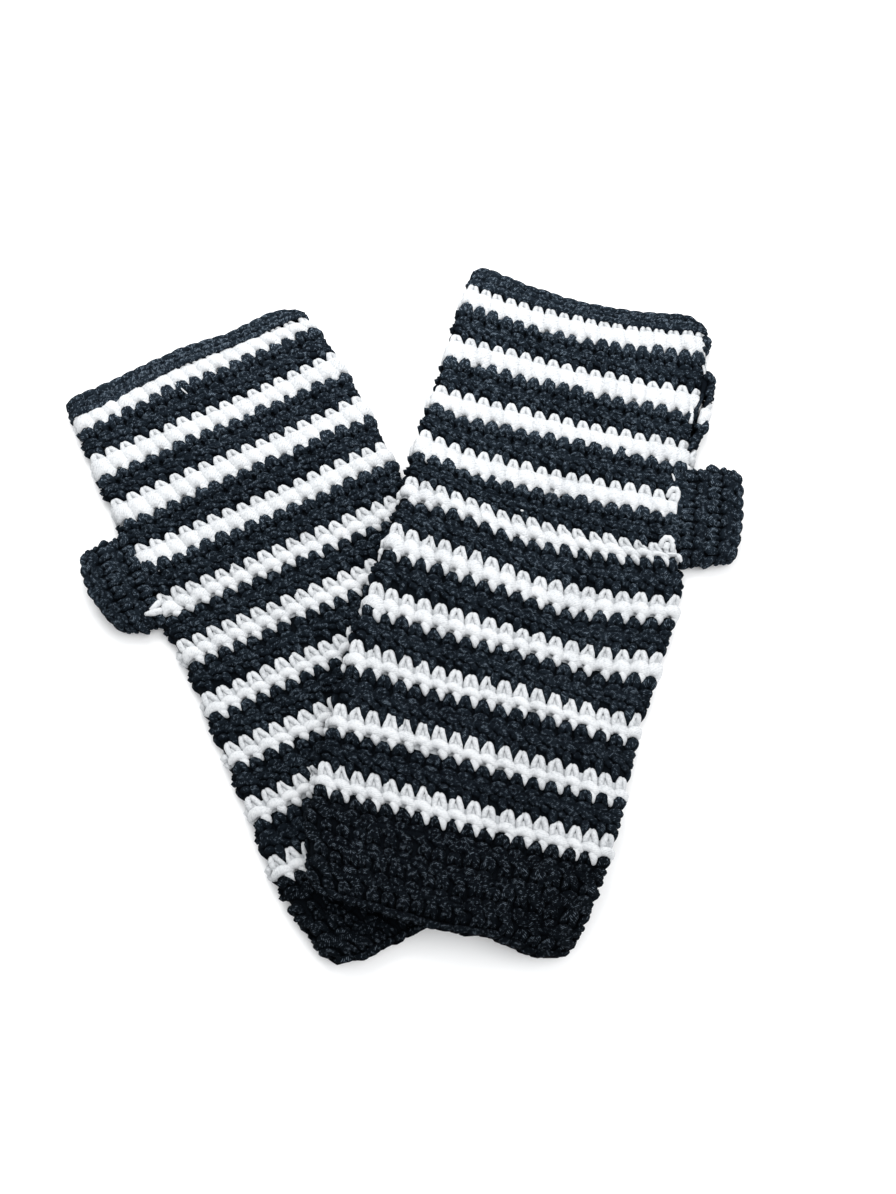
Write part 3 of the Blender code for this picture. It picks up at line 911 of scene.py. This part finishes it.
def build_hand_cloth(mitt):
    """The striped cloth with the gap for the thumb, and how far down its rows are."""
    last = len(mitt["tips"]) - 1
    downs, dark = [], []
    for k in range(last + 1):
        for y, shade in SHADES:
            if k < last or y < WHITE_HEIGHT:
                downs.append(both_layers(lambda place, back: down_at(mitt, back, k, place, y)))
                dark.append(shade)
    top = np.minimum(mitt["band"], downs[0] - LEAST_STEP)
    downs = np.array([top, *downs, np.full(TURNS.shape, mitt["cuff_from"])])
    missing = beside_thumb(mitt, TURNS[None] + TURN_STEP / 2, (downs[:-1] + downs[1:]) / 2)
    return body_wall(mitt["name"] + "_hand_cloth", mitt, downs, dark + [1], missing), downs


def build_hand(mitt):
    cloth, downs = build_hand_cloth(mitt)
    pieces = []
    for layer, detail, back in LAYERS:
        white, dark = Lump(), Lump()
        for k, fang in enumerate(mitt["fangs"]):
            line = partial(down_at, mitt, back, k)
            short = None if back else mitt["by_thumb"].get(k)
            lay(white, white_stitch(detail, fang), mitt, line, back, "white", k, short=short)
            if k < len(mitt["tips"]) - 1:
                lay(dark, dark_stitch(detail, fang), mitt, line, back, "dark", k)
            if back and k < mitt["rolled"]:
                if k:
                    lay_edge(white, white_stitch(FINE, fang), mitt, line, "white", k)
                lay_edge(dark, dark_stitch(FINE, fang), mitt, line, "dark", k)
        for lump, shade, material in ((white, "white", WHITE), (dark, "dark", DARK)):
            for points in () if back else mitt["loose_" + shade]:
                lay_loose(lump, points, mitt)
            pieces.append(lump.make(f"{mitt['name']}_hand_{shade}_{layer}", material))
    dress(mitt, "hand", cloth, pieces, downs)


def build_cuff(mitt):
    name = mitt["name"] + "_cuff"
    bottom = both_layers(lambda place, back: edge_line(mitt["hem_edge"], place)) - HEM_INSET
    downs = between(mitt["cuff_from"], bottom, CUFF_CLOTH_ROWS)
    cloth = body_wall(name + "_cloth", mitt, downs)
    pieces = []
    for layer, detail, back in LAYERS:
        lump = Lump()
        for row, stagger in enumerate(STAGGER):
            shapes = (PEAK_LEFT, PEAK_RIGHT)
            if row < len(STAGGER) - 1:
                shapes += (UPPER_OVAL, LOWER_OVAL, DARK_FLOOR)
            line = partial(cuff_at, mitt, back, row * CUFF_ROW - WHITE_HEIGHT)
            lay(lump, stitch(shapes, detail), mitt, line, back, "cuff" if row else "cuff_top", row, stagger)
        line = partial(cuff_at, mitt, back, 0)
        lay(lump, stitch((HEM,), detail), mitt, line, back, "hem")
        pieces.append(lump.make(f"{name}_yarn_{layer}", SHADED_CUFF_YARN))
    dress(mitt, "cuff", cloth, pieces, downs)


def build_band(mitt):
    name = mitt["name"] + "_finger_band"
    top = both_layers(lambda place, back: finger_line(mitt, place, back)) + BAND_INSET
    downs = between(top, mitt["band"] + BAND_TUCK, BAND_CLOTH_ROWS)
    cloth = body_wall(name + "_cloth", mitt, downs)
    pieces = []
    for layer, detail, back in LAYERS:
        lump = Lump()
        line = partial(band_at, mitt, back)
        for shape in (BAND_TOP, BAND_MIDDLE, BAND_FOOT):
            raised = tuple((x, y, h + mitt["band_over"], r) for x, y, h, r in shape)
            lay(lump, stitch((raised,), detail), mitt, line, back, "band")
            if back and mitt["rolled"]:
                lay_edge(lump, stitch((raised,), FINE), mitt, line, "band")
        if not mitt["band_edge"]:
            line = partial(down_at, mitt, back, -1)
            lay(lump, stitch((DARK_FANG,), detail), mitt, line, back, "band_points")
        pieces.append(lump.make(f"{name}_yarn_{layer}", DARK))
    dress(mitt, "finger_band", cloth, pieces, downs)


def lay_thumb(lump, shapes, mitt, out, mess, stagger=0, columns=range(2 * THUMB_COLUMNS)):
    """Repeats a stitch around a thumb, where down is out."""
    template = stitch(shapes, FINE)
    x, y, h = uneven(template, len(columns), mess)
    share = (y + out) / THUMB_LENGTH
    h = h - THUMB_SUNK * smooth(1 - share / THUMB_RISE)
    place = np.array(columns)[:, None] + x / PITCH + stagger
    lump.add(template, around_thumb(mitt, place, share, h))


def build_thumb(mitt):
    name = mitt["name"] + "_thumb"
    shares = np.linspace(0, THUMB_CLOTH_END, THUMB_CLOTH_ROWS)
    share, grid = np.meshgrid(shares, np.arange(0, 2 * THUMB_COLUMNS, TURN_STEP), indexing="ij")
    rows = [around_thumb(mitt, grid, share, out) for out in (OUTER, INNER)]
    cloth = wall(name + "_cloth", rows)
    lump = Lump()
    for out, stagger in zip(THUMB_ROWS, STAGGER):
        shapes = (DOME_LEFT, DOME_RIGHT, UPPER_OVAL, LOWER_OVAL, DARK_FLOOR)
        lay_thumb(lump, shapes, mitt, out, THUMB_MESS, stagger)
    if mitt["thumb_root"]:
        lay_thumb(lump, (DOME_LEFT, DOME_RIGHT), mitt, THUMB_ROOT, THUMB_MESS, columns=mitt["thumb_root"])
    lay_thumb(lump, (HEM,), mitt, THUMB_RIM, RIM_MESS)
    piece = lump.make(name + "_yarn", DARK)
    rows = around_thumb(mitt, grid, share, 0)
    dress(mitt, "thumb", cloth, [piece], share * THUMB_LENGTH, rows)


# -------- the stage, in metres

FLOOR_HALF = 1.6
FLOOR_COLOUR, FLOOR_ROUGHNESS = (0.97, 0.97, 0.97, 1), 0.8
AIR_COLOUR, AIR_STRENGTH = (0.97, 0.985, 1, 1), 0.85
LAMPS = (("window", (-0.1, 0.46, 0.46), 0.5, 3.9),  # place, size, watts
         ("fill", (0.55, -0.1, 0.9), 0.9, 5.6))
CAMERA_AT = (0.01775, -0.14096, 0.3764)
LOOKS_AT = (0.01775, -0.0056, 0)
LENS = 33.77
NEAREST = 0.01  # that the camera sees


def build_floor():
    mesh = bpy.data.meshes.new("floor")
    corners = [(x * FLOOR_HALF, y * FLOOR_HALF, 0) for x, y in ((-1, -1), (1, -1), (1, 1), (-1, 1))]
    mesh.from_pydata(corners, [], [(0, 1, 2, 3)])
    look = Look("pale_floor", FLOOR_ROUGHNESS)
    fill(look.shader, {"Base Color": FLOOR_COLOUR})
    mesh.materials.append(look.material)
    linked("floor", mesh)


def aim(thing, at, target):
    """Puts a lamp or camera in its place, facing a target."""
    thing.location = at
    thing.rotation_mode = "QUATERNION"
    thing.rotation_quaternion = (Vector(target) - Vector(at)).to_track_quat("-Z", "Y")


def build_lights():
    world = bpy.data.worlds.new("soft_white")
    world.use_nodes = True
    fill(world.node_tree.nodes["Background"], {"Color": AIR_COLOUR, "Strength": AIR_STRENGTH})
    bpy.context.scene.world = world
    for name, at, size, watts in LAMPS:
        data = bpy.data.lights.new(name, "AREA")
        data.shape = "SQUARE"
        data.size = size
        data.energy = watts
        aim(linked(name, data), at, (0, 0, 0))
    bpy.context.scene.view_settings.view_transform = "Standard"


def build_camera():
    data = bpy.data.cameras.new("camera")
    data.lens = LENS
    data.clip_start = NEAREST
    camera = linked("camera", data)
    aim(camera, CAMERA_AT, LOOKS_AT)
    bpy.context.scene.camera = camera


build_floor()
for mitt in (LEFT, RIGHT):
    build_hand(mitt)
    build_cuff(mitt)
    build_band(mitt)
    build_thumb(mitt)
build_lights()
build_camera()
